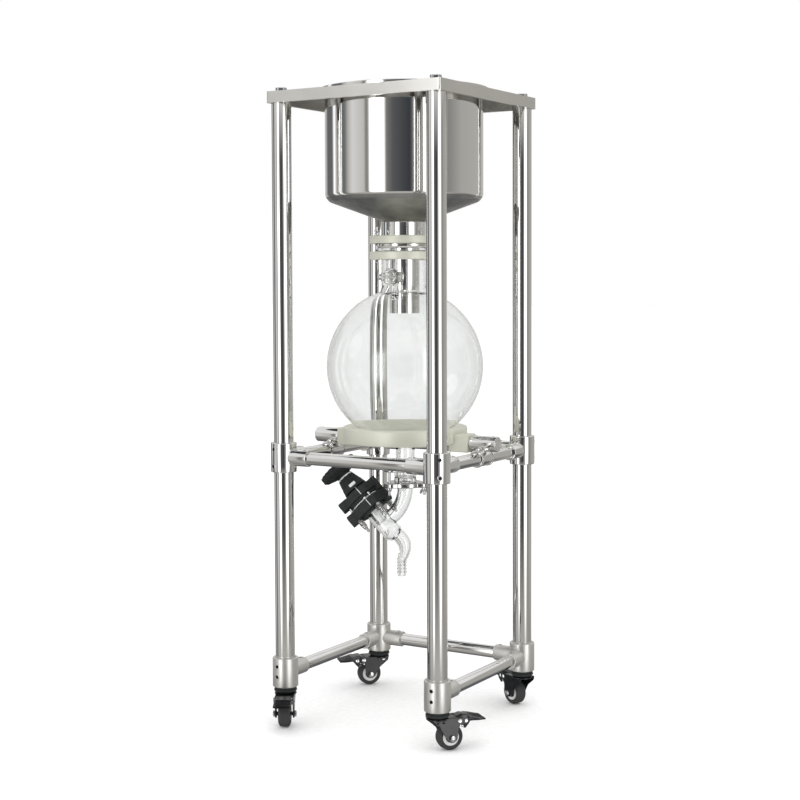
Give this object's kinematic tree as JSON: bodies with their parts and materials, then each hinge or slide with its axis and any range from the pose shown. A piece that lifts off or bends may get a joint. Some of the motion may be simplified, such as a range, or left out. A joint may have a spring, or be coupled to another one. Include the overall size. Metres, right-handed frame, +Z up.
{
  "type": "laboratory vacuum filter",
  "caption": "Vacuum filter on a wheeled tube frame: steel filter funnel over a glass receiving flask with a bottom drain valve.",
  "frame": {"origin": "point on the floor under the common axis of funnel and flask, midway between the four posts", "axes": "+Z up along the funnel and flask axis, -Y the open front with no low rail, +X the object's right side"},
  "size_m": [0.4864, 0.4773, 1.2373],
  "materials": {
    "polished_tube": "polished stainless tube",
    "satin_steel": "satin stainless steel",
    "polished_sheet": "polished stainless sheet",
    "zinc_bolt": "bright fastener",
    "borosilicate": "clear blown glass",
    "coated_casting": "cream-grey coating, semi-matt",
    "black_moulding": "black moulded plastic",
    "caster_black": "black coated pressing",
    "tread": "black tread on a light hub",
    "fluoropolymer": "white fluoropolymer",
    "silicone": "off-white gasket"
  },
  "bodies": {
    "stand": {"post_front_left": "polished_tube", "mid_tee_front_left": "polished_tube", "low_tee_front_left": "satin_steel", "post_bolt_front_left": "zinc_bolt", "post_front_right": "polished_tube", "mid_tee_front_right": "polished_tube", "low_tee_front_right": "satin_steel", "post_bolt_front_right": "zinc_bolt", "post_back_right": "polished_tube", "mid_tee_back_right": "polished_tube", "low_tee_back_right": "satin_steel", "post_bolt_back_right": "zinc_bolt", "post_back_left": "polished_tube", "mid_tee_back_left": "polished_tube", "low_tee_back_left": "satin_steel", "post_bolt_back_left": "zinc_bolt", "mid_rail_front": "polished_tube", "mid_rail_back": "polished_tube", "mid_rail_left": "polished_tube", "mid_rail_right": "polished_tube", "low_rail_back": "polished_tube", "low_rail_left": "polished_tube", "low_rail_right": "polished_tube", "top_plate": "satin_steel", "caster_mount_front_left": "caster_black", "caster_mount_front_right": "caster_black", "caster_mount_back_right": "caster_black", "caster_mount_back_left": "caster_black", "funnel": "polished_sheet", "upper_clamp_ring": "coated_casting", "lower_clamp_ring": "coated_casting", "neck_gasket": "silicone", "flask": "borosilicate", "support_ring": "coated_casting", "rail_clamp_left": "polished_tube", "rail_clamp_right": "polished_tube", "outlet_ring_upper": "satin_steel", "outlet_ring_lower": "satin_steel", "valve_body": "borosilicate", "valve_flange_lower": "black_moulding", "valve_gasket": "fluoropolymer", "valve_flange_upper": "black_moulding", "valve_bonnet": "black_moulding"},
    "swivel_front_left": {"caster_fork_front_left": "caster_black"},
    "wheel_front_left": {"caster_wheel_front_left": "tread"},
    "pedal_front_left": {"caster_pedal_front_left": "caster_black"},
    "swivel_front_right": {"caster_fork_front_right": "caster_black"},
    "wheel_front_right": {"caster_wheel_front_right": "tread"},
    "pedal_front_right": {"caster_pedal_front_right": "caster_black"},
    "swivel_back_right": {"caster_fork_back_right": "caster_black"},
    "wheel_back_right": {"caster_wheel_back_right": "tread"},
    "pedal_back_right": {"caster_pedal_back_right": "caster_black"},
    "swivel_back_left": {"caster_fork_back_left": "caster_black"},
    "wheel_back_left": {"caster_wheel_back_left": "tread"},
    "pedal_back_left": {"caster_pedal_back_left": "caster_black"},
    "filter": {"filter_plate": "polished_sheet", "filter_seal": "silicone"},
    "port_key": {"port_plug": "borosilicate"},
    "spindle": {"valve_stem": "fluoropolymer"},
    "hand_knob": {"valve_knob": "black_moulding"}
  },
  "joints": [
    {"name": "swivel_turn_front_left", "type": "hinge", "parent": "stand", "child": "swivel_front_left", "pos_m": [-0.1715, -0.1715, 0.062], "axis": [0, 0, 1], "continuous": true},
    {"name": "wheel_spin_front_left", "type": "hinge", "parent": "swivel_front_left", "child": "wheel_front_left", "pos_m": [-0.15991, -0.19079, 0.025], "axis": [0.8572, 0.515, 0], "continuous": true},
    {"name": "brake_front_left", "type": "hinge", "parent": "swivel_front_left", "child": "pedal_front_left", "pos_m": [-0.15244, -0.20322, 0.056], "axis": [0.8572, 0.515, 0], "range_deg": [0, 14]},
    {"name": "swivel_turn_front_right", "type": "hinge", "parent": "stand", "child": "swivel_front_right", "pos_m": [0.1715, -0.1715, 0.062], "axis": [0, 0, 1], "continuous": true},
    {"name": "wheel_spin_front_right", "type": "hinge", "parent": "swivel_front_right", "child": "wheel_front_right", "pos_m": [0.18566, -0.15401, 0.025], "axis": [-0.7771, 0.6293, 0], "continuous": true},
    {"name": "brake_front_right", "type": "hinge", "parent": "swivel_front_right", "child": "pedal_front_right", "pos_m": [0.19478, -0.14275, 0.056], "axis": [-0.7771, 0.6293, 0], "range_deg": [0, 14]},
    {"name": "swivel_turn_back_right", "type": "hinge", "parent": "stand", "child": "swivel_back_right", "pos_m": [0.1715, 0.1715, 0.062], "axis": [0, 0, 1], "continuous": true},
    {"name": "wheel_spin_back_right", "type": "hinge", "parent": "swivel_back_right", "child": "wheel_back_right", "pos_m": [0.15064, 0.17993, 0.025], "axis": [-0.3746, -0.9272, 0], "continuous": true},
    {"name": "brake_back_right", "type": "hinge", "parent": "swivel_back_right", "child": "pedal_back_right", "pos_m": [0.13719, 0.18536, 0.056], "axis": [-0.3746, -0.9272, 0], "range_deg": [0, 14]},
    {"name": "swivel_turn_back_left", "type": "hinge", "parent": "stand", "child": "swivel_back_left", "pos_m": [-0.1715, 0.1715, 0.062], "axis": [0, 0, 1], "continuous": true},
    {"name": "wheel_spin_back_left", "type": "hinge", "parent": "swivel_back_left", "child": "wheel_back_left", "pos_m": [-0.18713, 0.15531, 0.025], "axis": [0.7193, -0.6947, 0], "continuous": true},
    {"name": "brake_back_left", "type": "hinge", "parent": "swivel_back_left", "child": "pedal_back_left", "pos_m": [-0.1972, 0.14488, 0.056], "axis": [0.7193, -0.6947, 0], "range_deg": [0, 14]},
    {"name": "filter_lift", "type": "slide", "parent": "stand", "child": "filter", "axis": [0, 0, 1], "range_m": [0, 0.22]},
    {"name": "port_turn", "type": "hinge", "parent": "stand", "child": "port_key", "pos_m": [0.018, -0.064, 0.8712], "axis": [0, -1, 0], "range_deg": [0, 90]},
    {"name": "valve_lift", "type": "slide", "parent": "stand", "child": "spindle", "axis": [-0.6841, -0.1206, 0.7193], "range_m": [0, 0.008]},
    {"name": "valve_turn", "type": "hinge", "parent": "spindle", "child": "hand_knob", "pos_m": [-0.14023, -0.02473, 0.48297], "axis": [-0.6841, -0.1206, 0.7193], "range_deg": [0, 720]}
  ],
  "couplings": [
    {"joint": "valve_lift", "follows": "valve_turn", "m_per_rad": 0.0006366}
  ]
}
